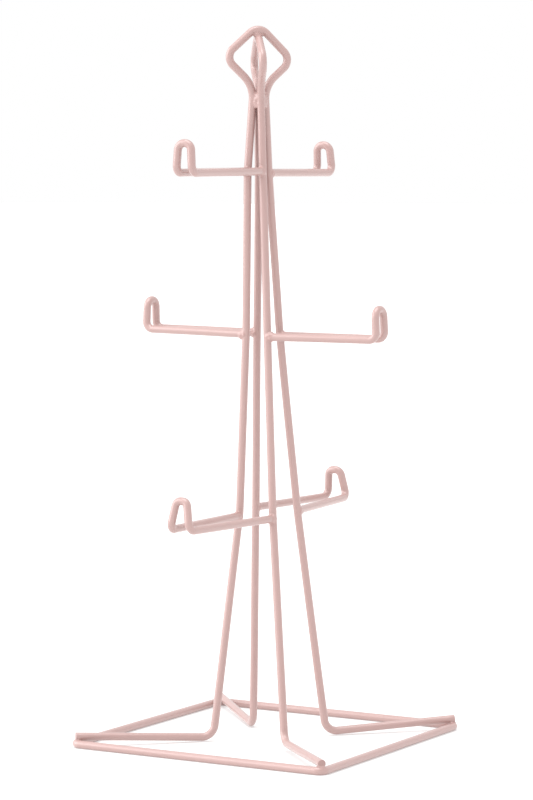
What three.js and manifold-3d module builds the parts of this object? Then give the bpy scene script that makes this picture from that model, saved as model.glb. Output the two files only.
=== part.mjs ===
// Wire mug tree: a square base ring, two frame wires that rise from its corners and close in a
// diamond-shaped finial, and six hairpin hooks in three tiers. All of it is one gauge of coated
// steel wire, welded where wires meet.
//
// Millimetres, +Z up. Pieces are laid out about the centre of the base ring, on the table, and the
// whole tree is then set so that its origin is under the middle of its outline.
// Each frame wire stands in a diagonal plane of the base; the hooks point along X and Y.

import * as THREE from 'three';
import { mergeVertices } from 'three/addons/utils/BufferGeometryUtils.js';
import Module from 'manifold-3d';

const wasm = await Module();
wasm.setup();

// ---------------------------------------------------------------- driving dimensions

const WIRE_DIAMETER = 4.2; // 4 mm steel wire with its powder coat
const WIRE_SIDES = 12; // flats on the modelled section
const JOINT_GAP = 0.3; // clearance between pieces that touch
const BEND_STEP = THREE.MathUtils.degToRad(15); // turn between two stations of a bend
const MERGE_DISTANCE = 1e-4; // between corners of a mesh that are one corner

const BASE_SIDE = 150; // between the wire's centres
const BASE_CORNER_RADIUS = 4;
const RING_LAP = 1; // of each half of the ring past the middle of two sides

const FOOT_HEIGHT = 6.0; // a foot's centre, where it is sunk slightly into the ring by its weld
const FOOT_BEND_RADIUS = 7;
const TIER_BEND_RADIUS = 20;
const TIER_HEIGHTS = [121.5, 218, 303.5];

const WAIST_RADIUS = 3.1;
const WAIST_HEIGHT = 349;
const WAIST_BEND_RADIUS = 16;
const TOWER_LEAN = [-3, -5.5]; // how far the waist stands off the base's centre
const OUTLINE_SHIFT = 5.5; // along Y: the near hooks reach further than the far ones

const SHOULDER_BEND_RADIUS = 6; // the finial's side corners
const APEX_HEIGHT = 381.3;
const APEX_BEND_RADIUS = 6.5;
const APEX_CROSSING = 5.2; // drop of the lower apex's corner, so that the two bends just clear

// Each leg: its diagonal, how far its foot reaches, where the foot turns up (distance from the
// axis and drop below the foot's end), its distance from the axis at the three tiers, and the
// corner of its half of the finial as [distance from the axis, height].
const LEGS = {
  front: { way: [1, -1], foot: 105.5, turn: [34, 2], tiers: [16, 10, 5], shoulder: [18.6, 362.1] },
  right: { way: [1, 1], foot: 105, turn: [32.5, 3.8], tiers: [18, 9.5, 4.5], shoulder: [18.2, 362.7] },
  back: { way: [-1, 1], foot: 105, turn: [30, 3.8], tiers: [19, 11, 3.5], shoulder: [21.2, 360.8] },
  left: { way: [-1, -1], foot: 105, turn: [30, 3.8], tiers: [14, 9, 7], shoulder: [18.8, 364.4] },
};

// Each frame wire: the legs it forms, how far its apex is below the top one, how far the apex is
// pushed towards the second leg, and how far its finial is twisted about the axis, in degrees.
const FRAME_WIRES = {
  frame_wire_left_right: { legs: ['left', 'right'], apexDrop: 0, apexPush: 0, twist: 0 },
  frame_wire_front_back: { legs: ['front', 'back'], apexDrop: APEX_CROSSING, apexPush: 1.5, twist: -7 },
};

// Each hook: the way it points, the legs that carry it, its height at the legs and at its tip,
// its reach from the axis, and the spread of its two bars, which meet in an upturned loop.
const HOOK_BEND_RADIUS = 4;
const HOOKS = {
  hook_top_near: {
    way: [0, -1], legs: ['front', 'left'], height: 304, tipHeight: 304.5, reach: 78,
    spread: 9.4, loopHeight: 15.2, loopWidth: 7.5, loopLean: -1,
  },
  hook_top_far: {
    way: [0, 1], legs: ['right', 'back'], height: 303, tipHeight: 302, reach: 70.5,
    spread: 9.2, loopHeight: 15, loopWidth: 7.6, loopLean: -1.5,
  },
  hook_middle_right: {
    way: [1, 0], legs: ['front', 'right'], height: 216.5, tipHeight: 217, reach: 71,
    spread: 9.4, loopHeight: 15.8, loopWidth: 9, loopLean: -0.5,
  },
  hook_middle_left: {
    way: [-1, 0], legs: ['left', 'back'], height: 217.5, tipHeight: 218, reach: 69.5,
    spread: 10, loopHeight: 15.4, loopWidth: 8.4, loopLean: -0.5,
  },
  hook_low_near: {
    way: [0, -1], legs: ['front', 'left'], height: 120.5, tipHeight: 121.5, reach: 87.5,
    spread: 11.4, loopHeight: 14.9, loopWidth: 6.2, loopLean: -2.5,
  },
  hook_low_far: {
    way: [0, 1], legs: ['right', 'back'], height: 122.5, tipHeight: 122.5, reach: 80.5,
    spread: 11.6, loopHeight: 15.2, loopWidth: 7, loopLean: -3,
  },
};

// Weld beads
const COLLAR_REACH = 1.6; // of the bead round a hook's end, along its bar
const COLLAR_WRAP = 0.8; // past the leg's face
const COLLAR_THICKNESS = 0.8; // at the leg
const COLLAR_LIP = 0.27; // its thickness where it thins out on the bar
const CORNER_BEAD_RADIUS = 1.9;
const FINIAL_BEAD_RADIUS = 2;
const BEAD_SIDES = 8;
const BEAD_RINGS = 6;
const WAIST_BEAD_RADIUS = 1.2;
const WAIST_BEAD_OFFSET = 1.5; // outwards from the middle between two legs
const WAIST_BEAD_LENGTH = 4.5; // up the legs
const WAIST_BEAD_HEIGHT = 340.5; // of its middle

// ---------------------------------------------------------------- material

const pinkCoat = () => new THREE.MeshStandardMaterial({ color: 0xe0b9b6, roughness: 0.42, metalness: 0 });

// ---------------------------------------------------------------- wire

const vec = (x, y, z) => new THREE.Vector3(x, y, z);
const SECTION_APOTHEM = WIRE_DIAMETER / 2;
const SECTION_RADIUS = SECTION_APOTHEM / Math.cos(Math.PI / WIRE_SIDES);

// A wire of straight runs joined by bends. Its stations lie only where its direction changes, and
// at the given distances from its two ends.
class BentWire extends THREE.Curve {
  constructor(corners, bendRadii, endDistances = [0]) {
    super();
    const last = corners.length - 1;
    this.stations = [];
    for (const distance of endDistances) this.addRun(corners[0], corners[1], distance, 1);
    for (let i = 1; i < last; i++) this.addBend(corners[i - 1], corners[i], corners[i + 1], bendRadii[i]);
    for (const distance of endDistances.toReversed()) {
      this.addRun(corners[last], corners[last - 1], distance, -1);
    }
  }

  // A station on the run from an end to its neighbour, with the way the wire heads there.
  addRun(end, neighbour, distance, heading) {
    const inwards = neighbour.clone().sub(end).normalize();
    this.stations.push({
      point: end.clone().addScaledVector(inwards, distance),
      tangent: inwards.multiplyScalar(heading),
    });
  }

  addBend(before, corner, after, radius) {
    const into = corner.clone().sub(before);
    const out = after.clone().sub(corner);
    const room = Math.min(into.length(), out.length()) / 2;
    const turn = into.angleTo(out);
    const setback = Math.min(radius * Math.tan(turn / 2), room);
    const bendRadius = setback / Math.tan(turn / 2);
    into.normalize();
    const inwards = out.addScaledVector(into, -out.dot(into)).normalize();
    const start = corner.clone().addScaledVector(into, -setback);
    const steps = Math.max(1, Math.round(turn / BEND_STEP));
    for (let i = 0; i <= steps; i++) {
      const angle = (turn * i) / steps;
      const point = start.clone()
        .addScaledVector(into, bendRadius * Math.sin(angle))
        .addScaledVector(inwards, bendRadius * (1 - Math.cos(angle)));
      const tangent = into.clone()
        .multiplyScalar(Math.cos(angle))
        .addScaledVector(inwards, Math.sin(angle));
      this.stations.push({ point, tangent });
    }
  }

  get steps() {
    return this.stations.length - 1;
  }

  getPointAt(u, target = vec()) {
    return target.copy(this.stations[Math.round(u * this.steps)].point);
  }

  getTangentAt(u, target = vec()) {
    return target.copy(this.stations[Math.round(u * this.steps)].tangent);
  }
}

// The wire's section, with flats that face along and across the path's plane.
function section(grow) {
  const shape = new THREE.Shape();
  for (let i = 0; i < WIRE_SIDES; i++) {
    const angle = ((i + 0.5) / WIRE_SIDES) * 2 * Math.PI;
    const radius = SECTION_RADIUS + grow / Math.cos(Math.PI / WIRE_SIDES);
    const corner = [radius * Math.cos(angle), radius * Math.sin(angle)];
    if (i === 0) shape.moveTo(...corner);
    else shape.lineTo(...corner);
  }
  shape.closePath();
  return shape;
}

const wireGeometry = (path, grow = 0) =>
  new THREE.ExtrudeGeometry(section(grow), { extrudePath: path, steps: path.steps, bevelEnabled: false });

// ---------------------------------------------------------------- joining and cutting

function solid(geometry) {
  const bare = geometry.index ? geometry.toNonIndexed() : geometry;
  bare.deleteAttribute('normal');
  bare.deleteAttribute('uv');
  const merged = mergeVertices(bare, MERGE_DISTANCE);
  return new wasm.Manifold(
    new wasm.Mesh({
      numProp: 3,
      vertProperties: merged.attributes.position.array,
      triVerts: new Uint32Array(merged.index.array),
    }),
  );
}

function geometryOf(manifold) {
  const { vertProperties, triVerts } = manifold.getMesh();
  const geometry = new THREE.BufferGeometry();
  geometry.setAttribute('position', new THREE.BufferAttribute(vertProperties, 3));
  geometry.setIndex(new THREE.BufferAttribute(triVerts, 1));
  geometry.computeVertexNormals();
  return geometry;
}

// What is left of a bead once its neighbours, each with the joint's clearance, are cut away.
const cutBy = (manifold, neighbours) => neighbours.reduce((left, piece) => left.subtract(piece), manifold);

function mesh(name, geometry) {
  const made = new THREE.Mesh(geometry, pinkCoat());
  made.name = name;
  return made;
}

// ---------------------------------------------------------------- base ring

// Two halves that overlap in the middle of two sides, joined into one closed ring.
const half = BASE_SIDE / 2;
const RING_HALVES = [-1, 1].map(
  (side) =>
    new BentWire(
      [
        vec(-half, -side * RING_LAP, SECTION_APOTHEM),
        vec(-half, side * half, SECTION_APOTHEM),
        vec(half, side * half, SECTION_APOTHEM),
        vec(half, -side * RING_LAP, SECTION_APOTHEM),
      ],
      [0, BASE_CORNER_RADIUS, BASE_CORNER_RADIUS, 0],
    ),
);
const ringSolid = (grow) => {
  const [near, far] = RING_HALVES.map((path) => solid(wireGeometry(path, grow)));
  return near.add(far);
};
const ringClearance = ringSolid(JOINT_GAP);

// ---------------------------------------------------------------- frame wires

const leanAt = (height) => {
  const share = Math.max(0, (height - FOOT_HEIGHT) / (WAIST_HEIGHT - FOOT_HEIGHT));
  return vec(TOWER_LEAN[0] * share, TOWER_LEAN[1] * share, 0);
};

// A point of the tower: a distance from its leaning axis along a diagonal, at a height.
function towerPoint(way, distance, height, twist = 0) {
  const out = vec(way[0], way[1], 0).normalize().applyAxisAngle(vec(0, 0, 1), twist);
  return out.multiplyScalar(distance).add(leanAt(height)).setZ(height);
}

// The corners of a leg, from its foot to its shoulder.
function legCorners({ way, foot, turn: [turnRadius, turnDrop], tiers, shoulder }, twist) {
  return [
    towerPoint(way, foot, FOOT_HEIGHT),
    towerPoint(way, turnRadius, FOOT_HEIGHT - turnDrop),
    ...tiers.map((distance, i) => towerPoint(way, distance, TIER_HEIGHTS[i])),
    towerPoint(way, WAIST_RADIUS, WAIST_HEIGHT),
    towerPoint(way, ...shoulder, twist),
  ];
}

const LEG_BEND_RADII = [
  0, FOOT_BEND_RADIUS, TIER_BEND_RADIUS, TIER_BEND_RADIUS, TIER_BEND_RADIUS, WAIST_BEND_RADIUS,
  SHOULDER_BEND_RADIUS,
];

function framePath({ legs: [first, second], apexDrop, apexPush, twist }) {
  const turn = THREE.MathUtils.degToRad(twist);
  return new BentWire(
    [
      ...legCorners(LEGS[first], turn),
      towerPoint(LEGS[second].way, apexPush, APEX_HEIGHT - apexDrop),
      ...legCorners(LEGS[second], turn).reverse(),
    ],
    [...LEG_BEND_RADII, APEX_BEND_RADIUS, ...LEG_BEND_RADII.toReversed()],
  );
}

const framePaths = Object.entries(FRAME_WIRES).map(([name, wire]) => [name, framePath(wire)]);
const frameClearances = framePaths.map(([, path]) => solid(wireGeometry(path, JOINT_GAP)));

// The feet are sunk into the ring by their welds, so each frame wire is cut to sit over it.
const frameWires = framePaths.map(([name, path]) =>
  mesh(name, geometryOf(cutBy(solid(wireGeometry(path)), [ringClearance]))),
);

// ---------------------------------------------------------------- hooks

// The centre of a leg at a height between its foot bend and its waist.
function legCentre(leg, height) {
  const corners = legCorners(LEGS[leg], 0).slice(1, -1);
  const i = corners.findIndex((corner, k) => k > 0 && corner.z >= height);
  const below = corners[i - 1];
  const above = corners[i];
  return below.clone().lerp(above, (height - below.z) / (above.z - below.z));
}

// Where a bar starts, just clear of its leg.
function barRoot(hook, leg) {
  return legCentre(leg, hook.height).addScaledVector(vec(...hook.way, 0), SECTION_RADIUS + JOINT_GAP);
}

// Each bar has a station just past its bead, so that its flats run free from there to the tip.
function hookPath(hook) {
  const out = vec(...hook.way, 0);
  const across = vec(-out.y, out.x, 0);
  const at = (distance, side, height) =>
    out.clone().multiplyScalar(distance).addScaledVector(across, side).add(leanAt(height)).setZ(height);
  const [first, second] = hook.legs.map((leg) => barRoot(hook, leg));
  const side = Math.sign(first.clone().sub(second).dot(across));
  const tip = (way) => at(hook.reach, (way * hook.spread) / 2, hook.tipHeight);
  const top = (way) =>
    at(hook.reach + hook.loopLean, (way * hook.loopWidth) / 2, hook.tipHeight + hook.loopHeight);
  const loopRadius = hook.loopWidth / 2;
  return new BentWire(
    [first, tip(side), top(side), top(-side), tip(-side), second],
    [0, HOOK_BEND_RADIUS, loopRadius, loopRadius, HOOK_BEND_RADIUS, 0],
    [0, COLLAR_REACH + JOINT_GAP],
  );
}

const hooks = Object.entries(HOOKS).map(([name, hook]) => mesh(name, wireGeometry(hookPath(hook))));

// ---------------------------------------------------------------- welds

// The bead round the end of a bar where it butts against a leg. Where two bars start close
// together, each bead ends at the plane between them.
function collar(hook, leg) {
  const inner = SECTION_RADIUS + JOINT_GAP;
  const outer = inner + COLLAR_THICKNESS;
  const profile = [
    [inner, -COLLAR_WRAP],
    [outer, -COLLAR_WRAP],
    [outer, 0],
    [inner + COLLAR_LIP, COLLAR_REACH],
    [inner, COLLAR_REACH],
    [inner, -COLLAR_WRAP],
  ].map(([x, y]) => new THREE.Vector2(x, y));
  const root = barRoot(hook, leg);
  const otherRoot = barRoot(hook, hook.legs.find((other) => other !== leg));
  const turn = new THREE.Quaternion().setFromUnitVectors(vec(0, 1, 0), vec(...hook.way, 0));
  const geometry = new THREE.LatheGeometry(profile, WIRE_SIDES).applyQuaternion(turn);
  geometry.translate(root.x, root.y, root.z);
  const apart = root.clone().sub(otherRoot).projectOnPlane(vec(...hook.way, 0)).normalize();
  const middle = root.clone().lerp(otherRoot, 0.5).dot(apart);
  const whole = cutBy(solid(geometry), frameClearances);
  return whole.trimByPlane(apart.toArray(), middle + JOINT_GAP / 2);
}

const hookWelds = Object.entries(HOOKS).flatMap(([name, hook]) =>
  hook.legs.map((leg) => mesh(`${name}_weld_${leg}`, geometryOf(collar(hook, leg)))),
);

const bead = (radius, centre) =>
  solid(new THREE.SphereGeometry(radius, BEAD_SIDES, BEAD_RINGS).translate(centre.x, centre.y, centre.z));

// The bead in the crotch under each foot, inside the ring's corner.
const cornerWelds = Object.entries(LEGS).map(([leg, { way }]) => {
  const ringFace = (half - BASE_CORNER_RADIUS) * Math.SQRT2 + BASE_CORNER_RADIUS - SECTION_APOTHEM;
  const crotch = towerPoint(way, ringFace - CORNER_BEAD_RADIUS / 2, FOOT_HEIGHT - SECTION_APOTHEM);
  crotch.z -= CORNER_BEAD_RADIUS / 2;
  return mesh(
    `corner_weld_${leg}`,
    geometryOf(cutBy(bead(CORNER_BEAD_RADIUS, crotch), [ringClearance, ...frameClearances])),
  );
});

// The two beads in the crotches where one apex passes over the other.
const apexCentre = ({ stations }) =>
  stations.reduce((top, { point }) => (point.z > top.z ? point : top), vec());
const crossing = apexCentre(framePaths[0][1]).clone().lerp(apexCentre(framePaths[1][1]), 0.5);
const finialWelds = [['near', -1], ['far', 1]].map(([name, side]) => {
  const centre = crossing.clone().add(vec(0, side * FINIAL_BEAD_RADIUS, 0));
  return mesh(`finial_weld_${name}`, geometryOf(cutBy(bead(FINIAL_BEAD_RADIUS, centre), frameClearances)));
});

// The beads that tie each leg to the next at the waist, in the crotches outside.
const LEG_PAIRS = [['front', 'right'], ['right', 'back'], ['back', 'left'], ['left', 'front']];
const waistWelds = LEG_PAIRS.map(([first, second]) => {
  const middle = legCentre(first, WAIST_BEAD_HEIGHT).lerp(legCentre(second, WAIST_BEAD_HEIGHT), 0.5);
  const out = middle.clone().sub(leanAt(WAIST_BEAD_HEIGHT)).setZ(0).normalize();
  const { x, y, z } = middle.addScaledVector(out, WAIST_BEAD_OFFSET);
  const ends = [WAIST_BEAD_RADIUS, WAIST_BEAD_RADIUS];
  const stub = new THREE.CylinderGeometry(...ends, WAIST_BEAD_LENGTH, BEAD_SIDES);
  stub.rotateX(Math.PI / 2).translate(x, y, z);
  return mesh(`waist_weld_${first}_${second}`, geometryOf(cutBy(solid(stub), frameClearances)));
});

// ---------------------------------------------------------------- assembly

function group(...meshes) {
  return new THREE.Group().add(...meshes);
}

const mugTree = group(
  group(mesh('base_ring', geometryOf(ringSolid(0))), ...cornerWelds),
  group(...frameWires, ...waistWelds, ...finialWelds),
  group(...hooks, ...hookWelds),
);
mugTree.position.y = OUTLINE_SHIFT;

export default mugTree;
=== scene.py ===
"""Wire mug tree: a square base ring, two frame wires that close in a finial, and six hairpin hooks.

Every wire is swept along its own path of straight runs and bends, and every weld is a bead that
flows between the wires it joins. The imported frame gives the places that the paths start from.
Lengths in the tables are millimetres, and everything built from them is in metres.
"""

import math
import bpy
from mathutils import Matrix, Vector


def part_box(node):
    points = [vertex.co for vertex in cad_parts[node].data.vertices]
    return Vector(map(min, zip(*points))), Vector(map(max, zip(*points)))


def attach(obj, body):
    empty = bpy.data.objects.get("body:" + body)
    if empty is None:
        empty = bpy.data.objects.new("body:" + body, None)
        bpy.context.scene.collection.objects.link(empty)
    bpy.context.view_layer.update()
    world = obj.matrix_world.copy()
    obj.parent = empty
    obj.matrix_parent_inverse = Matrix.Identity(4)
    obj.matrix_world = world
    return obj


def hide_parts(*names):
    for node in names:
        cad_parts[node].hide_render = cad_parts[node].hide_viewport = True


bl_info = {
    "name": "Wire Mug Tree",
    "version": (1, 0, 0),
    "blender": (4, 5, 0),
    "location": "3D View > Sidebar > Mug Tree",
    "description": "Bends the coated wires of a mug tree, runs its weld beads and sets its stage",
    "category": "Add Mesh",
}

import bpy
import numpy as np
from bpy.props import FloatProperty, FloatVectorProperty, IntProperty, PointerProperty
from bpy.types import Operator, Panel, PropertyGroup
from mathutils import Matrix, Vector, noise

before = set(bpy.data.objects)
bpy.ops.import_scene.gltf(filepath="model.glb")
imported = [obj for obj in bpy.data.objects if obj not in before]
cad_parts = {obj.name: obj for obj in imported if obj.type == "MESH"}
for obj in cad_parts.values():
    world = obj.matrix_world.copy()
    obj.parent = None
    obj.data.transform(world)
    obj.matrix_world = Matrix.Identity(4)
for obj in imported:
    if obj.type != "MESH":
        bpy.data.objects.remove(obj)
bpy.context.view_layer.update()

MM = 0.001
RING_LOW, RING_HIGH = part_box("base_ring")
BASE_CENTRE = (RING_LOW + RING_HIGH) / 2
WIRE_DIAMETER = RING_HIGH.z - RING_LOW.z
BASE_SIDE = RING_HIGH.x - RING_LOW.x - WIRE_DIAMETER

# Each leg: its diagonal, how far its foot reaches, where the foot turns up (distance from the
# axis and drop below the foot's end), its distance from the axis at the three tiers, and the
# corner of its half of the finial as (distance from the axis, height).
TIER_HEIGHTS = (121.5, 218, 303.5)
LEGS = {
    "front": dict(way=(1, -1), foot=105.5, turn=(34, 2), tiers=(16, 10, 5), shoulder=(18.6, 362.1)),
    "right": dict(way=(1, 1), foot=105, turn=(32.5, 3.8), tiers=(18, 9.5, 4.5), shoulder=(18.2, 362.7)),
    "back": dict(way=(-1, 1), foot=105, turn=(30, 3.8), tiers=(19, 11, 3.5), shoulder=(21.2, 360.8)),
    "left": dict(way=(-1, -1), foot=105, turn=(30, 3.8), tiers=(14, 9, 7), shoulder=(18.8, 364.4)),
}

# Each frame wire: the legs it forms, how far its apex is below the top one and towards the
# second leg, and how far its finial is twisted about the axis, in degrees.
FRAME_WIRES = {
    "frame_wire_left_right": dict(legs=("left", "right"), apex_drop=0, apex_push=0, twist=0),
    "frame_wire_front_back": dict(legs=("front", "back"), apex_drop=5.2, apex_push=1.5, twist=-7),
}

# The legs that are welded to each other at the waist.
LEG_PAIRS = ("front_right", "right_back", "back_left", "left_front")

# Each hook: the way it points, the legs that carry it, its height at the legs and at its tip,
# its reach from the axis, the spread of its two bars, and its upturned loop's height, width and
# lean away from the axis.
HOOKS = {
    "hook_top_near": dict(
        way=(0, -1), legs=("front", "left"), height=304, tip=304.5, reach=78, spread=9.4,
        loop=(15.2, 7.5, -1),
    ),
    "hook_top_far": dict(
        way=(0, 1), legs=("right", "back"), height=303, tip=302, reach=70.5, spread=9.2,
        loop=(15, 7.6, -1.5),
    ),
    "hook_middle_right": dict(
        way=(1, 0), legs=("front", "right"), height=216.5, tip=217, reach=71, spread=9.4,
        loop=(15.8, 9, -0.5),
    ),
    "hook_middle_left": dict(
        way=(-1, 0), legs=("left", "back"), height=217.5, tip=218, reach=69.5, spread=10,
        loop=(15.4, 8.4, -0.5),
    ),
    "hook_low_near": dict(
        way=(0, -1), legs=("front", "left"), height=120.5, tip=121.5, reach=87.5, spread=11.4,
        loop=(14.9, 6.2, -2.5),
    ),
    "hook_low_far": dict(
        way=(0, 1), legs=("right", "back"), height=122.5, tip=122.5, reach=80.5, spread=11.6,
        loop=(15.2, 7, -3),
    ),
}


# ---------------------------------------------------------------- sizes and colours


def length(name, description, default, **more):
    """A length that the sidebar shows in the scene's units."""
    return FloatProperty(
        name=name, description=description, default=default, subtype="DISTANCE", precision=5, **more
    )


def share(name, description, default):
    """A number from 0 to 1."""
    return FloatProperty(
        name=name, description=description, default=default, min=0, max=1, subtype="FACTOR"
    )


def angle(name, description, degrees):
    """An angle, given here in degrees."""
    return FloatProperty(
        name=name, description=description, default=math.radians(degrees), subtype="ANGLE"
    )


class WireSettings(PropertyGroup):
    """The coated wire that everything is bent from."""

    diameter: length("Diameter", "Across the wire with its coat", WIRE_DIAMETER, min=0.5 * MM)
    sides: IntProperty(name="Sides", description="Flats round the wire", default=40, min=8)
    bend_step: angle("Bend step", "Turn from one point of a bend to the next", 3)
    run_step: length("Run step", "Distance between the points of a straight run", 4 * MM)
    waver: length("Waver", "How far hand bending leaves a run from straight", 0.14 * MM)
    waver_length: length("Waver length", "Distance over which a run wavers", 55 * MM)
    waver_seed: IntProperty(
        name="Waver seed", description="Which waver the runs have", default=7, min=1
    )
    foot_edge: length("Foot edge", "Rounding of a foot's cut end under its coat", 0.28 * MM)


class FrameSettings(PropertyGroup):
    """The base ring and the two frame wires that stand on it."""

    side: length("Base side", "Side of the base ring, between the wire's centres", BASE_SIDE)
    corner_radius: length("Base corner", "Bend radius of the ring's corners", 4 * MM)
    foot_height: length("Foot height", "A foot's centre above the table", 6 * MM)
    foot_bend: length("Foot bend", "Bend radius where a foot turns up", 7 * MM)
    tier_bend: length("Tier bend", "Bend radius where a leg changes its slope", 20 * MM)
    waist_radius: length("Waist radius", "Distance of the legs from the axis at the waist", 3.1 * MM)
    waist_height: length("Waist height", "Height where the legs meet", 349 * MM)
    waist_bend: length("Waist bend", "Bend radius at the waist", 16 * MM)
    lean: FloatVectorProperty(
        name="Lean",
        description="How far the waist stands off the middle of the base",
        size=2,
        default=(-3 * MM, -5.5 * MM),
        subtype="XYZ_LENGTH",
    )
    shoulder_bend: length("Shoulder bend", "Bend radius of the finial's sides", 6 * MM)
    apex_height: length("Apex height", "Height of the finial's top corner", 381.3 * MM)
    apex_bend: length("Apex bend", "Bend radius of the finial's top", 6.5 * MM)


class HookSettings(PropertyGroup):
    """The hairpin hooks."""

    bend: length("Bend", "Bend radius where a bar turns up into its loop", 4 * MM)
    stand_off: length("Stand-off", "From a leg's centre to the start of a bar's free run", 2.474 * MM)
    sunk: length("Sunk", "How far a bar's end runs on into its leg", 2.2 * MM)


class WeldSettings(PropertyGroup):
    """The weld beads."""

    fillet: length("Fillet", "How widely a bead flows between two wires", 0.48 * MM)
    bead: length("Bead", "Radius of the metal laid at a hook's bar", 2.2 * MM)
    stray: length("Stray", "How far that metal may miss its joint", 0.5 * MM)
    sag: length("Sag", "How far that metal hangs below its joint", 0.4 * MM)
    bar_hold: length("Bar hold", "Distance that a hook's bead shows for", 2.5 * MM)
    corner_hold: length("Corner hold", "Distance that a foot's bead shows for", 2.6 * MM)
    finial_hold: length("Finial hold", "Distance that the finial's bead shows for", 2.8 * MM)
    waist: length("Waist", "Radius of the metal laid between two legs at the waist", 1.35 * MM)
    waist_length: length("Waist length", "Height of the beads at the waist", 7.5 * MM)
    waist_rise: length("Waist rise", "How far those beads flow up between the legs", 1.2 * MM)
    spot: length("Spot", "Radius of the metal laid on each side of the finial's weld", 1.5 * MM)
    spot_gap: length("Spot gap", "From the finial's weld to that metal", 1.7 * MM)
    spot_drop: length("Spot drop", "How far that metal hangs below the weld", 0.6 * MM)
    raggedness: share("Raggedness", "How unevenly a bead was laid", 0.35)
    lump: length("Lump", "Distance over which a bead is uneven", 1.1 * MM)
    rings: IntProperty(name="Rings", description="Rings of faces on a bead", default=56, min=8)
    sides: IntProperty(name="Sides", description="Faces round a bead", default=80, min=8)
    seed: IntProperty(name="Seed", description="Which unevenness is laid", default=7)


class CoatSettings(PropertyGroup):
    """The powder coat."""

    colour: FloatVectorProperty(
        name="Colour",
        description="Colour of the coat",
        size=3,
        default=(0.455, 0.29, 0.27),
        min=0,
        max=1,
        subtype="COLOR",
    )
    # The deep colour is laid where "seam" is near 1, in the crotches round the beads. Darkened, it is
    # also the painted shade on the feet's cut ends.
    deep: FloatVectorProperty(
        name="Deep colour",
        description="Colour where the coat is thick, in crotches and round beads",
        size=3,
        default=(0.43, 0.24, 0.22),
        min=0,
        max=1,
        subtype="COLOR",
    )
    roughness: share("Roughness", "How satin the coat is", 0.4)
    gloss: share("Gloss", "Weight of the clear gloss on top", 0.85)
    mottle: share("Mottle", "How uneven the colour is", 0.5)
    peel: length("Peel", "Distance between the dimples of the coat's orange peel", 1.3 * MM)
    peel_depth: length("Peel depth", "Depth of those dimples", 0.012 * MM)


class StageSettings(PropertyGroup):
    """The floor, the lights and the camera."""

    floor_radius: length("Floor radius", "Radius of the pale floor", 9.0)
    floor_tone: share("Floor tone", "Lightness of the floor", 0.6)
    glow: FloatProperty(name="Glow", description="Light from the floor itself", default=0.35, min=0)
    room: FloatProperty(name="Room", description="Light from all round", default=1, min=0)
    key: FloatProperty(name="Key", description="Light from the left", default=1.85, min=0)
    top: FloatProperty(name="Top", description="Light from above", default=1.7, min=0)
    azimuth: angle("Azimuth", "Where the camera stands round the tree", 29.547)
    elevation: angle("Elevation", "How far above the horizon it stands", 3.248)
    roll: angle("Roll", "How far it is tipped", 0.169)
    distance: length("Distance", "From the camera to the tree's axis", 1.8628)
    aim_height: length("Aim height", "Height that the camera points at", 0.24019)
    aim_aside: length("Aim aside", "How far to its right of the axis it points", 0.0108)
    lens: FloatProperty(name="Lens", description="Focal length in millimetres", default=157.56)
    shift: FloatVectorProperty(
        name="Shift", description="Lens shift across and up", size=2, default=(-0.0283, -0.1362)
    )


class MugTreeSettings(PropertyGroup):
    """All the sizes and colours of the mug tree and its stage."""

    wire: PointerProperty(type=WireSettings)
    frame: PointerProperty(type=FrameSettings)
    hooks: PointerProperty(type=HookSettings)
    welds: PointerProperty(type=WeldSettings)
    coat: PointerProperty(type=CoatSettings)
    stage: PointerProperty(type=StageSettings)


# ---------------------------------------------------------------- shader maths


class Value:
    """A number in a shader. Arithmetic on it adds Math nodes."""

    def __init__(self, shader, socket):
        self.shader, self.socket = shader, socket

    def _math(self, operation, first, second):
        outputs = self.shader.node("ShaderNodeMath", {"operation": operation}, {0: first, 1: second})
        return Value(self.shader, outputs[0])

    def __add__(self, other):
        return self._math("ADD", self, other)

    __radd__ = __add__

    def __sub__(self, other):
        return self._math("SUBTRACT", self, other)

    def __rsub__(self, other):
        return self._math("SUBTRACT", other, self)

    def __mul__(self, other):
        return self._math("MULTIPLY", self, other)

    __rmul__ = __mul__


class Shader:
    """One material as it is being built."""

    def __init__(self, name):
        self.material = bpy.data.materials.new(name)
        self.material.use_nodes = True
        self.tree = self.material.node_tree
        self.tree.nodes.clear()

    def node(self, kind, settings, sockets):
        """Adds a node, sets it up, fills its inputs with values or links, and gives its outputs."""
        made = self.tree.nodes.new(kind)
        for name, setting in settings.items():
            if name == "stops":
                for stop, (place, tone) in zip(made.color_ramp.elements, setting, strict=True):
                    stop.position, stop.color = place, (tone, tone, tone, 1)
            else:
                setattr(made, name, setting)
        for name, source in sockets.items():
            socket = source.socket if isinstance(source, Value) else source
            if isinstance(socket, bpy.types.NodeSocket):
                self.tree.links.new(socket, made.inputs[name])
            else:
                made.inputs[name].default_value = socket
        return made.outputs

    def value(self, *node):
        """The number that a node's first output gives."""
        return Value(self, self.node(*node)[0])

    def attribute(self, name):
        """A number stored on the mesh."""
        return Value(self, self.node("ShaderNodeAttribute", {"attribute_name": name}, {})["Fac"])

    def grain(self, place, size, detail=2.0, roughness=0.5):
        """Noise from 0 to 1 over the surface, whose lumps are about this size."""
        sockets = {"Vector": place, "Scale": 1 / size, "Detail": detail, "Roughness": roughness}
        return self.value("ShaderNodeTexNoise", {}, sockets)

    def ramp(self, factor, low, high):
        """0 below low and 1 above high."""
        stops = {"stops": ((low, 0), (high, 1))}
        return self.value("ShaderNodeValToRGB", stops, {"Fac": factor})

    def mix(self, factor, first, second):
        """One colour turning into another."""
        settings = {"data_type": "RGBA", "clamp_factor": True}
        return self.node("ShaderNodeMix", settings, {0: factor, 6: first, 7: second})[2]


def toned(colour, tone):
    """A colour made lighter or darker, with its alpha."""
    return (*(min(1, part * tone) for part in colour), 1)


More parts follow.
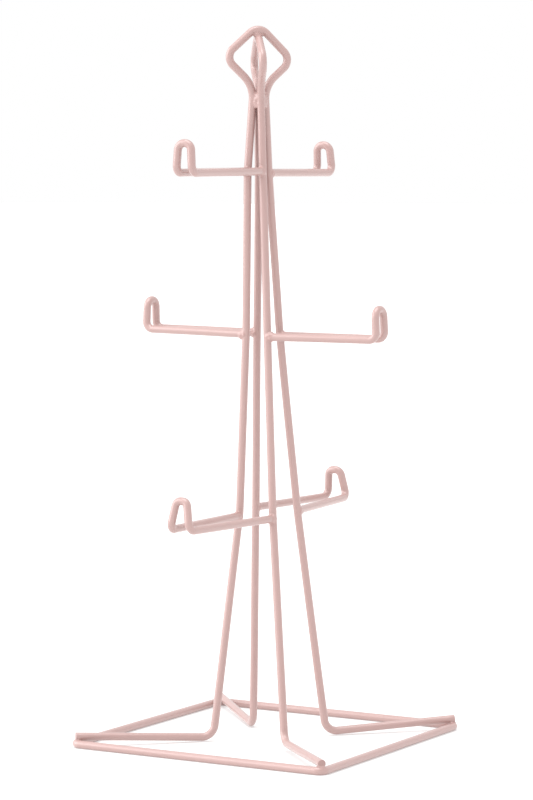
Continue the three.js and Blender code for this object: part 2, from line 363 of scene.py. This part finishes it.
def powder_coat(name, coat, lumpy):
    """Satin powder coat on wire or, lumpy, on a bead. It is rougher, and deeper in colour, where
    the mesh's "seam" is near 1, in the crotches round the beads, and painted shade darkens the cut end
    of a foot, where "edge" is near 1."""
    shader = Shader(name)
    place = shader.node("ShaderNodeTexCoord", {}, {})["Object"]
    seam, edge = shader.attribute("seam"), shader.attribute("edge")

    # From the broadest change in the coat to the finest.
    drift = shader.grain(place, 38 * MM, detail=3)
    cloud = shader.grain(place, 7 * MM, detail=4, roughness=0.6)
    fleck = shader.ramp(shader.grain(place, 0.42 * MM, detail=1), 0.62, 0.76)
    peel = shader.grain(place, coat.peel, detail=2, roughness=0.4)
    dust = shader.grain(place, coat.peel * 0.28, detail=1)
    tide = shader.grain(place, 5.5 * MM, detail=1)

    mottle = (cloud * 0.6 + drift * 0.4 - 0.5) * (2 * coat.mottle) + 0.5
    body = shader.mix(mottle, toned(coat.colour, 0.95), toned(coat.colour, 1.05))
    speckled = shader.mix(fleck * 0.16, body, toned(coat.colour, 1.3))
    # Deeper colour where "seam" is near 1, in the crotches round the beads.
    seam_darkened = shader.mix(seam * (0.55 + 0.35 * cloud), speckled, toned(coat.deep, 1))
    # Painted shade: where "edge" is near 1, on a foot's cut face and rim, the coat is darkened towards
    # the deep colour.
    cut_end_shaded = shader.mix(edge * 0.85, seam_darkened, toned(coat.deep, 0.8))

    texture = 1.7 if lumpy else 1.0
    height = peel * texture + dust * 0.12 + tide * 1.4
    surface = {"Strength": 0.9, "Distance": coat.peel_depth, "Height": height}
    sockets = {
        "Base Color": cut_end_shaded,
        "Roughness": mottle * 0.1 + fleck * 0.08 + seam * 0.1 + (coat.roughness - 0.05),
        "Normal": shader.node("ShaderNodeBump", {}, surface)[0],
        "IOR": 1.5,
        "Specular IOR Level": 0.6,
        "Coat Weight": coat.gloss,
        "Coat Roughness": 0.24,
        "Coat IOR": 1.6,
    }
    surface_output = shader.node("ShaderNodeBsdfPrincipled", {}, sockets)["BSDF"]
    shader.node("ShaderNodeOutputMaterial", {}, {"Surface": surface_output})
    return shader.material


def coat_for(kind):
    """The coat's material for this kind of piece, made when it is first asked for."""
    name = f"Pink powder coat on {kind}"
    coat = bpy.context.scene.mug_tree.coat
    return bpy.data.materials.get(name) or powder_coat(name, coat, lumpy=kind == "weld")


def pale_paper(tone, glow):
    """Matt pale paper, faintly fibrous, on a table that is lit from below."""
    shader = Shader("Pale paper floor")
    place = shader.node("ShaderNodeTexCoord", {}, {})["Object"]
    fibre = shader.grain(place, 9 * MM, detail=5, roughness=0.7)
    light, dark = (tone, tone, tone * 0.997), (tone * 0.985, tone * 0.983, tone * 0.978)
    sockets = {
        "Base Color": shader.mix(fibre, toned(dark, 1), toned(light, 1)),
        "Roughness": 0.9,
        "Specular IOR Level": 0.2,
        "Emission Color": (1, 1, 1, 1),
        "Emission Strength": glow,
    }
    surface = shader.node("ShaderNodeBsdfPrincipled", {}, sockets)["BSDF"]
    shader.node("ShaderNodeOutputMaterial", {}, {"Surface": surface})
    return shader.material


# ---------------------------------------------------------------- paths


def lean_at(height):
    """How far the tower's axis stands off the base's centre at a height in metres."""
    tower = bpy.context.scene.mug_tree.frame
    rise = max(0, height - tower.foot_height) / (tower.waist_height - tower.foot_height)
    return Vector((*tower.lean, 0)) * rise


def tower_point(way, distance, height, twist=0.0):
    """A point at a distance from the leaning axis along a way, at a height, in metres."""
    out = Matrix.Rotation(twist, 3, "Z") @ Vector((*way, 0)).normalized()
    point = Vector((*BASE_CENTRE.xy, 0)) + out * distance + lean_at(height)
    point.z = height
    return point


def leg_corners(leg, twist):
    """The corners of a leg, from its foot to its shoulder."""
    tower = bpy.context.scene.mug_tree.frame
    turn_radius, turn_drop = leg["turn"]
    stops = [
        (leg["foot"] * MM, tower.foot_height),
        (turn_radius * MM, tower.foot_height - turn_drop * MM),
        *((distance * MM, height * MM) for distance, height in zip(leg["tiers"], TIER_HEIGHTS)),
        (tower.waist_radius, tower.waist_height),
    ]
    shoulder_radius, shoulder_height = leg["shoulder"]
    shoulder = tower_point(leg["way"], shoulder_radius * MM, shoulder_height * MM, twist)
    return [tower_point(leg["way"], *stop) for stop in stops] + [shoulder]


def bent(corners, radii):
    """Points along straight runs that are joined by round bends."""
    wire = bpy.context.scene.mug_tree.wire
    points = [corners[0]]
    for before, corner, after, radius in zip(corners, corners[1:], corners[2:], radii):
        into, out = corner - before, after - corner
        turn = into.angle(out)
        setback = min(radius * math.tan(turn / 2), into.length / 2, out.length / 2)
        bend = setback / math.tan(turn / 2)
        into.normalize()
        inwards = (out - into * out.dot(into)).normalized()
        steps = max(2, math.ceil(turn / wire.bend_step))
        for step in range(steps + 1):
            done = turn * step / steps
            along = into * (bend * math.sin(done) - setback)
            points.append(corner + along + inwards * (bend * (1 - math.cos(done))))
    points.append(corners[-1])
    return stepped(points, wire.run_step)


def stepped(points, step):
    """The same line with points along its long runs, and no point twice."""
    line = points[:1]
    for point in points[1:]:
        run = (point - line[-1]).length
        if run < 1e-6:
            continue
        start, parts = line[-1], max(1, round(run / step))
        line += [start.lerp(point, part / parts) for part in range(1, parts + 1)]
    return line


def wavered(points):
    """The line as a hand-bent wire has it. Wires that meet waver together, and feet stay down."""
    wire = bpy.context.scene.mug_tree.wire
    settled = 40 * MM
    # Without a seed this noise starts from the clock, and the wires differ from run to run.
    noise.seed_set(wire.waver_seed)
    return [
        point
        + noise.noise_vector(point / wire.waver_length) * wire.waver * min(1, point.z / settled)
        for point in points
    ]


def ring_path():
    """The base ring, from the middle of one side all the way round to it again."""
    tower = bpy.context.scene.mug_tree.frame
    half = tower.side / 2
    height = bpy.context.scene.mug_tree.wire.diameter / 2
    turns = [(-half, 0), (-half, half), (half, half), (half, -half), (-half, -half), (-half, 0)]
    corners = [Vector((BASE_CENTRE.x + x, BASE_CENTRE.y + y, height)) for x, y in turns]
    return bent(corners, [tower.corner_radius] * 4)


def frame_path(name):
    """A frame wire, from one foot over its apex to the other."""
    tower, wire = bpy.context.scene.mug_tree.frame, FRAME_WIRES[name]
    first, second = (LEGS[leg] for leg in wire["legs"])
    twist = math.radians(wire["twist"])
    apex = tower_point(
        second["way"], wire["apex_push"] * MM, tower.apex_height - wire["apex_drop"] * MM
    )
    radii = [tower.foot_bend, *[tower.tier_bend] * 3, tower.waist_bend, tower.shoulder_bend]
    corners = leg_corners(first, twist) + [apex] + leg_corners(second, twist)[::-1]
    return wavered(bent(corners, [*radii, tower.apex_bend, *radii[::-1]]))


def leg_centre(leg, height):
    """The centre of a leg's wire at a height between its foot bend and its waist."""
    corners = leg_corners(LEGS[leg], 0)[1:-1]
    below, above = next(pair for pair in zip(corners, corners[1:]) if pair[1].z >= height)
    return below.lerp(above, (height - below.z) / (above.z - below.z))


def bar_root(hook, leg):
    """Where a bar's free run starts, just clear of its leg."""
    stand_off = bpy.context.scene.mug_tree.hooks.stand_off
    return leg_centre(leg, hook["height"] * MM) + Vector((*hook["way"], 0)) * stand_off


def hook_path(name):
    """A hook, from one bar's end in its leg, round the loop, to the other's."""
    hook, settings = HOOKS[name], bpy.context.scene.mug_tree.hooks
    out = Vector((*hook["way"], 0))
    across = Vector((-out.y, out.x, 0))
    rise, width, lean = (size * MM for size in hook["loop"])
    tip_height = hook["tip"] * MM

    def at(reach, aside, height):
        point = BASE_CENTRE + out * reach + across * aside + lean_at(height)
        point.z = height
        return point

    roots = [bar_root(hook, leg) for leg in hook["legs"]]
    side = math.copysign(1, (roots[0] - roots[1]).dot(across))
    spread, reach = side * hook["spread"] / 2 * MM, hook["reach"] * MM
    tips = [at(reach, way * spread, tip_height) for way in (1, -1)]
    tops = [at(reach + lean, way * side * width / 2, tip_height + rise) for way in (1, -1)]
    ends = [
        root - (tip - root).normalized() * settings.sunk for root, tip in zip(roots, tips)
    ]
    corners = [ends[0], tips[0], tops[0], tops[1], tips[1], ends[1]]
    return wavered(bent(corners, [settings.bend, width / 2, width / 2, settings.bend]))


# ---------------------------------------------------------------- swept wires


def wire_sweep():
    """The Geometry Nodes tree that sweeps a round section along a wire's path."""
    made = bpy.data.node_groups.get("Wire sweep")
    if made:
        return made
    tree = bpy.data.node_groups.new("Wire sweep", "GeometryNodeTree")
    face = tree.interface
    face.new_socket("Path", in_out="INPUT", socket_type="NodeSocketGeometry")
    radius = face.new_socket("Wire Radius", in_out="INPUT", socket_type="NodeSocketFloat")
    radius.subtype, radius.min_value = "DISTANCE", 0
    sides = face.new_socket("Section Sides", in_out="INPUT", socket_type="NodeSocketInt")
    sides.min_value = 3
    face.new_socket("Coat", in_out="INPUT", socket_type="NodeSocketMaterial")
    face.new_socket("Wire", in_out="OUTPUT", socket_type="NodeSocketGeometry")

    def node(kind, **inputs):
        added = tree.nodes.new(kind)
        for name, source in inputs.items():
            socket = added.inputs[name.replace("_", " ")]
            if isinstance(source, bpy.types.NodeSocket):
                tree.links.new(source, socket)
            else:
                socket.default_value = source
        return added

    given = node("NodeGroupInput").outputs
    girth = node("GeometryNodeInputNamedAttribute", Name="girth").outputs["Attribute"]
    path = node("GeometryNodeMeshToCurve", Mesh=given["Path"]).outputs["Curve"]
    section = node(
        "GeometryNodeCurvePrimitiveCircle",
        Resolution=given["Section Sides"],
        Radius=given["Wire Radius"],
    ).outputs["Curve"]
    swept = node(
        "GeometryNodeCurveToMesh", Curve=path, Profile_Curve=section, Scale=girth, Fill_Caps=True
    ).outputs["Mesh"]
    smooth = node("GeometryNodeSetShadeSmooth", Geometry=swept).outputs["Geometry"]
    real = node("GeometryNodeRealizeInstances", Geometry=smooth).outputs["Geometry"]
    coated = node("GeometryNodeSetMaterial", Geometry=real, Material=given["Coat"])
    node("NodeGroupOutput", Wire=coated.outputs["Geometry"])
    return tree


def swept_wire(name, points, girths, closed=False):
    """A mesh object for a wire, swept along its path, with its girth varying on the way."""
    wire = bpy.context.scene.mug_tree.wire
    count = len(points)
    edges = [(i, i + 1) for i in range(count - 1)] + ([(count - 1, 0)] if closed else [])
    line = bpy.data.meshes.new(f"{name} path")
    line.from_pydata(points, edges, [])
    line.attributes.new("girth", "FLOAT", "POINT").data.foreach_set("value", girths)
    host = bpy.data.objects.new(f"{name} path", line)
    bpy.context.scene.collection.objects.link(host)

    tree = wire_sweep()
    modifier = host.modifiers.new("Wire sweep", "NODES")
    modifier.node_group = tree
    values = {
        "Wire Radius": wire.diameter / 2,
        "Section Sides": wire.sides,
        "Coat": coat_for("wire"),
    }
    for socket in tree.interface.items_tree:
        if socket.in_out == "INPUT" and socket.name in values:
            modifier[socket.identifier] = values[socket.name]
    evaluated = host.evaluated_get(bpy.context.evaluated_depsgraph_get())
    mesh = bpy.data.meshes.new_from_object(evaluated)
    bpy.data.objects.remove(host)
    bpy.data.meshes.remove(line)
    if not mesh.polygons:
        raise RuntimeError(f"{name}: nothing was swept")
    mesh.name = name
    piece = bpy.data.objects.new(name, mesh)
    bpy.context.scene.collection.objects.link(piece)
    return piece


def with_ends(points, profile):
    """The path with both ends shaped by (distance from the end, girth) steps, and its girths."""

    def shaped(line):
        run = (line[1] - line[0]).normalized()
        kept = [p for p in line if (p - line[0]).length > profile[-1][0] + 1e-5]
        return [line[0] + run * distance for distance, _ in profile], kept

    start, rest = shaped(points)
    end, middle = shaped(rest[::-1])
    ends = [girth for _, girth in profile]
    girths = ends + [1.0] * len(middle) + ends[::-1]
    return start + middle[::-1] + end[::-1], girths


def foot_profile(radius, edge):
    """A cut end whose rim is rounded and whose face bulges a little under the coat."""
    face = (radius - edge) / radius
    bulge = [(-0.05 * MM, 0.01), (-0.045 * MM, 0.45 * face), (0.0, face)]
    turns = (math.radians(a) for a in (22.5, 45, 67.5, 90))
    rim = [(edge * (1 - math.cos(a)), face + (1 - face) * math.sin(a)) for a in turns]
    return bulge + rim


def cut_end_shade_mask(places, end, inner, wire):
    """1 on the cut face and rim of a foot's end, and 0 a little way along the wire: where painted shade
    darkens the coat.
    """
    from_end = places - np.array(end)
    depth = from_end @ np.array((inner - end).normalized())
    near = np.linalg.norm(from_end, axis=1) < wire.diameter
    return near * np.clip(1.3 - depth / wire.foot_edge, 0, 1)


# The end of a hook's bar, hidden in its leg, as (distance from the end, girth) steps.
BAR_PROFILE = ((0.0, 0.5), (0.6 * MM, 0.72), (1.4 * MM, 0.92), (2 * MM, 1.0))


def mark(piece, name, values):
    """Stores a number for each vertex."""
    attribute = piece.data.attributes.new(name, "FLOAT", "POINT")
    attribute.data.foreach_set("value", np.asarray(values, np.float32))


def corners_of(piece):
    """The piece's vertices as an array."""
    flat = np.empty(len(piece.data.vertices) * 3, np.float32)
    piece.data.vertices.foreach_get("co", flat)
    return flat.reshape(-1, 3).astype(float)


def settle(piece, *nodes):
    """Lets a finished piece stand for its CAD nodes, on their body."""
    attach(piece, "root")
    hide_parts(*nodes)


# ---------------------------------------------------------------- weld beads


class Tube:
    """The stretch of a wire near a joint, to measure distances to its surface."""

    def __init__(self, points, radius, near, reach, capped=False):
        line = np.array([tuple(point) for point in points])
        self.cap = None
        if capped:
            run = line[0] - line[1]
            self.cap = (line[0].copy(), run / np.linalg.norm(run))
            line = np.vstack([line[0] + self.cap[1] * reach, line])
        middles = (line[1:] + line[:-1]) / 2
        halves = np.linalg.norm(line[1:] - line[:-1], axis=1) / 2
        kept = np.linalg.norm(middles - near, axis=1) < reach + halves
        self.start, self.run = line[:-1][kept], (line[1:] - line[:-1])[kept]
        self.radius = radius

    def distance(self, places):
        """How far each place is outside the tube."""
        from_start = places[:, None] - self.start[None]
        along = (from_start * self.run).sum(-1) / (self.run**2).sum(-1)
        off = from_start - np.clip(along, 0, 1)[..., None] * self.run
        outside = np.sqrt((off**2).sum(-1)).min(1) - self.radius
        if self.cap is not None:
            outside = np.maximum(outside, (places - self.cap[0]) @ self.cap[1])
        return outside


class Ball:
    """Metal laid at one place, stretched upright by a factor."""

    def __init__(self, centre, radius, stretch=1.0):
        self.centre, self.radius, self.stretch = np.array(centre), radius, stretch

    def distance(self, places):
        """Roughly how far each place is outside the ball."""
        off = (places - self.centre) / np.array([1, 1, self.stretch])
        return np.sqrt((off**2).sum(-1)) - self.radius


def unevenness(seed, size):
    """A smooth random field from about -1 to 1 whose lumps are about this size."""
    random, waves = np.random.default_rng(seed), 9
    ways = random.normal(size=(waves, 3))
    ways *= (random.uniform(0.7, 1.5, waves) / np.linalg.norm(ways, axis=1))[:, None]
    phases = random.uniform(0, 2 * math.pi, waves)
    highest = 1.2 * math.sqrt(waves)
    return lambda places: np.sin(places @ ways.T * (math.pi / size) + phases).sum(1) / highest


def bead(centre, bodies, seed, hold, spread=(1.0, 1.0, 1.0)):
    """Vertices, faces and seams of a bead that flows between bodies round its centre. Out to hold
    it shows in the crotches, and beyond that it sinks into the wires. A spread stretches hold."""
    welds = bpy.context.scene.mug_tree.welds
    uneven = unevenness(seed, welds.lump)
    sink, skin = 0.32 / MM, 0.03 * MM

    def measured(places):
        each = np.stack([body.distance(places) for body in bodies])
        nearest = each.min(0)
        joined = -welds.fillet * np.log(np.exp(-(each - nearest) / welds.fillet).sum(0))
        flow = -joined * (1 + welds.raggedness * uneven(places))
        away = np.sqrt((((places - centre) / spread) ** 2).sum(-1))
        return nearest - flow + skin + sink * np.maximum(0, away - hold) ** 2, flow

    tilts = np.linspace(0, math.pi, welds.rings + 1)[1:-1]
    turns = np.linspace(0, 2 * math.pi, welds.sides, endpoint=False)
    tilt, turn = (grid.ravel() for grid in np.meshgrid(tilts, turns, indexing="ij"))
    rays = np.stack([np.sin(tilt) * np.cos(turn), np.sin(tilt) * np.sin(turn), np.cos(tilt)], 1)
    rays = np.vstack([[0, 0, 1], rays, [0, 0, -1]])
    out = np.zeros(len(rays))
    steps, stride, limit = 70, 0.55, 3 * hold * max(spread)
    for _ in range(steps):
        outside, _ = measured(centre + rays * out[:, None])
        out = np.clip(out - outside * stride, 0, limit)
    places = centre + rays * out[:, None]
    _, flow = measured(places)

    rows, last = welds.rings - 1, len(rays) - 1

    def at(row, side):
        return 1 + row * welds.sides + side % welds.sides

    faces = [(0, at(0, side), at(0, side + 1)) for side in range(welds.sides)]
    faces += [
        (at(row, side), at(row + 1, side), at(row + 1, side + 1), at(row, side + 1))
        for row in range(rows - 1)
        for side in range(welds.sides)
    ]
    faces += [(at(rows - 1, side), last, at(rows - 1, side + 1)) for side in range(welds.sides)]
    return places, faces, np.clip(flow / (welds.fillet * math.log(2)), 0, 1)


def bead_piece(name, beads, *nodes):
    """One mesh object for these beads, in their nodes' place."""
    places, faces, seams, start = [], [], [], 0
    for bead_places, bead_faces, bead_seams in beads:
        faces += [tuple(start + corner for corner in face) for face in bead_faces]
        start += len(bead_places)
        places.append(bead_places)
        seams.append(bead_seams)
    mesh = bpy.data.meshes.new(name)
    mesh.from_pydata(np.vstack(places).tolist(), [], faces)
    mesh.shade_smooth()
    mesh.materials.append(coat_for("weld"))
    piece = bpy.data.objects.new(name, mesh)
    bpy.context.scene.collection.objects.link(piece)
    mark(piece, "seam", np.concatenate(seams) * 0.6)
    settle(piece, *nodes)
    return piece


# ---------------------------------------------------------------- operators


class AddBaseRing(Operator):
    """Bend the square base ring"""

    bl_idname = "mesh.mug_tree_base_ring"
    bl_label = "Base Ring"

    def execute(self, context):
        path = ring_path()[:-1]
        ring = swept_wire("base_ring_wire", path, [1.0] * len(path), closed=True)
        settle(ring, "base_ring")
        return {"FINISHED"}


class AddFrameWires(Operator):
    """Bend the two wires that form the feet, the legs and the finial"""

    bl_idname = "mesh.mug_tree_frame_wires"
    bl_label = "Frame Wires"

    def execute(self, context):
        wire = context.scene.mug_tree.wire
        profile = foot_profile(wire.diameter / 2, wire.foot_edge)
        for name in FRAME_WIRES:
            path = frame_path(name)
            made = swept_wire(name.replace("frame_wire", "leg_wire"), *with_ends(path, profile))
            # Each foot's cut end is marked "edge", where the coat is darkened as painted shade.
            feet = ((path[0], path[1]), (path[-1], path[-2]))
            cuts = [cut_end_shade_mask(corners_of(made), end, inner, wire) for end, inner in feet]
            mark(made, "edge", np.maximum(*cuts))
            settle(made, name)
        return {"FINISHED"}


class AddHooks(Operator):
    """Bend the six hairpin hooks"""

    bl_idname = "mesh.mug_tree_hooks"
    bl_label = "Hooks"

    def execute(self, context):
        for name in HOOKS:
            hook = swept_wire(f"{name}_wire", *with_ends(hook_path(name), BAR_PROFILE))
            settle(hook, name)
        return {"FINISHED"}


class AddWelds(Operator):
    """Run the weld beads at the hooks, the ring's corners, the waist and the finial"""

    bl_idname = "mesh.mug_tree_welds"
    bl_label = "Welds"

    def execute(self, context):
        settings = context.scene.mug_tree
        self.welds, self.radius = settings.welds, settings.wire.diameter / 2
        self.random = np.random.default_rng(self.welds.seed)
        self.frames = {name: frame_path(name) for name in FRAME_WIRES}
        self.weld_hooks(settings.hooks.sunk * 0.8)
        self.weld_corners()
        self.weld_waist()
        self.weld_finial()
        return {"FINISHED"}

    def half_of(self, leg):
        """The part of a frame wire that forms this leg, from its foot to its apex."""
        name = next(name for name, wire in FRAME_WIRES.items() if leg in wire["legs"])
        path = self.frames[name]
        top = max(range(len(path)), key=lambda i: path[i].z)
        return path[: top + 1] if FRAME_WIRES[name]["legs"][0] == leg else path[top:][::-1]

    def tube(self, path, joint, capped=False):
        """A wire as it is near a joint."""
        reach = 16 * MM
        return Tube(path, self.radius, joint, reach, capped)

    def bead_at(self, joint, bodies, hold, spread=(1.0, 1.0, 1.0)):
        """A bead with its own unevenness."""
        return bead(joint, bodies, self.random.integers(1 << 30), hold, spread)

    def weld_hooks(self, in_leg):
        """The beads at the ends of the hooks' bars, each of which runs on into its leg."""
        for name, hook in HOOKS.items():
            bars, beads = hook_path(name), []
            middle = len(bars) // 2
            for leg, bar in zip(hook["legs"], (bars[:middle], bars[middle:][::-1])):
                joint = np.array(bar[0] + (bar[5] - bar[0]).normalized() * in_leg)
                missed = self.random.uniform(-1, 1, 3) * self.welds.stray
                laid = Ball(joint + missed - (0, 0, self.welds.sag), self.welds.bead)
                bodies = [self.tube(bar, joint), self.tube(self.half_of(leg), joint), laid]
                beads.append(self.bead_at(joint, bodies, self.welds.bar_hold))
            bead_piece(f"{name}_beads", beads, *(f"{name}_weld_{leg}" for leg in hook["legs"]))

    def weld_corners(self):
        """The beads between the feet and the ring's corners."""
        ring, beads = ring_path(), []
        for leg in LEGS:
            foot = self.half_of(leg)
            corner = min(ring, key=lambda point: (point - foot[0]).length)
            joint = np.array((corner.x, corner.y, (corner.z + foot[0].z) / 2))
            bodies = [self.tube(foot, joint, capped=True), self.tube(ring, joint)]
            beads.append(self.bead_at(joint, bodies, self.welds.corner_hold))
        bead_piece("corner_beads", beads, *(f"corner_weld_{leg}" for leg in LEGS))

    def weld_waist(self):
        """The metal between the four legs where they meet, in one piece."""
        welds = self.welds
        names = [f"waist_weld_{pair}" for pair in LEG_PAIRS]
        middles = [np.array(sum(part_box(name), Vector())) / 2 for name in names]
        joint = sum(middles) / 4 + (0, 0, welds.waist_rise)
        stretch, inset, core = welds.waist_length / 2 / welds.waist, 0.2, 1.5
        bodies = [self.tube(self.half_of(leg), joint) for leg in LEGS]
        for middle in middles:
            bodies.append(Ball(middle + (joint - middle) * inset, welds.waist, stretch))
        bodies.append(Ball(joint, welds.waist * core, stretch))
        waist = self.bead_at(joint, bodies, welds.waist_length / 2, spread=(3.0, 3.0, 1.0))
        bead_piece("waist_beads", [waist], *names)

    def weld_finial(self):
        """The spot weld where one apex passes under the other."""
        names = [f"finial_weld_{side}" for side in ("near", "far")]
        joint = np.array(sum((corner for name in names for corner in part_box(name)), Vector())) / 4
        bodies = [self.tube(path, joint) for path in self.frames.values()]
        for side in (-1, 1):
            off = np.array((0, side * self.welds.spot_gap, -self.welds.spot_drop))
            bodies.append(Ball(joint + off, self.welds.spot))
        bead_piece("finial_beads", [self.bead_at(joint, bodies, self.welds.finial_hold)], *names)


class SetStage(Operator):
    """Lay the pale floor, hang the soft lights and stand the camera"""

    bl_idname = "scene.mug_tree_stage"
    bl_label = "Stage"

    def execute(self, context):
        stage = context.scene.mug_tree.stage
        self.lay_floor(stage)
        self.hang_lights(context.scene, stage)
        self.stand_camera(context.scene, stage)
        context.scene.view_settings.view_transform = "Standard"
        return {"FINISHED"}

    def lay_floor(self, stage):
        sides = 96
        turns = [2 * math.pi * side / sides for side in range(sides)]
        rim = [(stage.floor_radius * math.cos(t), stage.floor_radius * math.sin(t), 0) for t in turns]
        mesh = bpy.data.meshes.new("pale_floor")
        mesh.from_pydata(rim, [], [tuple(range(sides))])
        mesh.materials.append(pale_paper(stage.floor_tone, stage.glow))
        floor = bpy.data.objects.new("pale_floor", mesh)
        bpy.context.scene.collection.objects.link(floor)

    def hang_lights(self, scene, stage):
        world = bpy.data.worlds.new("White room")
        world.use_nodes = True
        surround = world.node_tree.nodes["Background"].inputs
        surround["Color"].default_value = (1, 1, 1, 1)
        surround["Strength"].default_value = stage.room
        scene.world = world
        turn = Matrix.Rotation(stage.azimuth, 3, "Z")
        lamps = (
            ("key_light", (-1, -0.05, 0.4), 55, stage.key),
            ("top_light", (-0.1, -0.15, 1), 50, stage.top),
        )
        for name, towards, spread, strength in lamps:
            lamp = bpy.data.lights.new(name, "SUN")
            lamp.energy, lamp.angle = strength, math.radians(spread)
            light = bpy.data.objects.new(name, lamp)
            light.rotation_euler = (turn @ Vector(towards)).to_track_quat("Z", "Y").to_euler()
            scene.collection.objects.link(light)

    def stand_camera(self, scene, stage):
        forward = Vector((
            -math.sin(stage.azimuth) * math.cos(stage.elevation),
            math.cos(stage.azimuth) * math.cos(stage.elevation),
            -math.sin(stage.elevation),
        ))
        right = Vector((math.cos(stage.azimuth), math.sin(stage.azimuth), 0))
        aim = Vector((*BASE_CENTRE.xy, stage.aim_height))
        camera = bpy.data.cameras.new("camera")
        camera.sensor_width, camera.lens = 36, stage.lens
        camera.shift_x, camera.shift_y = stage.shift
        placed = bpy.data.objects.new("camera", camera)
        upright = Matrix((right, right.cross(forward), -forward)).transposed()
        placed.matrix_world = Matrix.LocRotScale(
            aim - forward * stage.distance + right * stage.aim_aside,
            upright @ Matrix.Rotation(stage.roll, 3, "Z"),
            None,
        )
        scene.collection.objects.link(placed)
        scene.camera = placed


# ---------------------------------------------------------------- sidebar


STEPS = (
    (AddBaseRing, ("wire", "frame")),
    (AddFrameWires, ()),
    (AddHooks, ("hooks",)),
    (AddWelds, ("welds", "coat")),
    (SetStage, ("stage",)),
)


class MugTreePanel(Panel):
    """The mug tree's pieces, in the order they are built, with their sizes"""

    bl_idname = "VIEW3D_PT_mug_tree"
    bl_label = "Mug Tree"
    bl_space_type = "VIEW_3D"
    bl_region_type = "UI"
    bl_category = "Mug Tree"

    def draw(self, context):
        settings = context.scene.mug_tree
        for step, groups in STEPS:
            box = self.layout.box()
            box.operator(step.bl_idname)
            for group in groups:
                values = getattr(settings, group)
                for name in values.__annotations__:
                    box.prop(values, name)


CLASSES = (
    WireSettings,
    FrameSettings,
    HookSettings,
    WeldSettings,
    CoatSettings,
    StageSettings,
    MugTreeSettings,
    *(step for step, _ in STEPS),
    MugTreePanel,
)


def register():
    for cls in CLASSES:
        bpy.utils.register_class(cls)
    bpy.types.Scene.mug_tree = PointerProperty(type=MugTreeSettings)


def unregister():
    del bpy.types.Scene.mug_tree
    for cls in reversed(CLASSES):
        bpy.utils.unregister_class(cls)


def main():
    """Builds the mug tree and its stage."""
    register()
    bpy.ops.mesh.mug_tree_base_ring()
    bpy.ops.mesh.mug_tree_frame_wires()
    bpy.ops.mesh.mug_tree_hooks()
    bpy.ops.mesh.mug_tree_welds()
    bpy.ops.scene.mug_tree_stage()


if __name__ == "__main__":
    main()
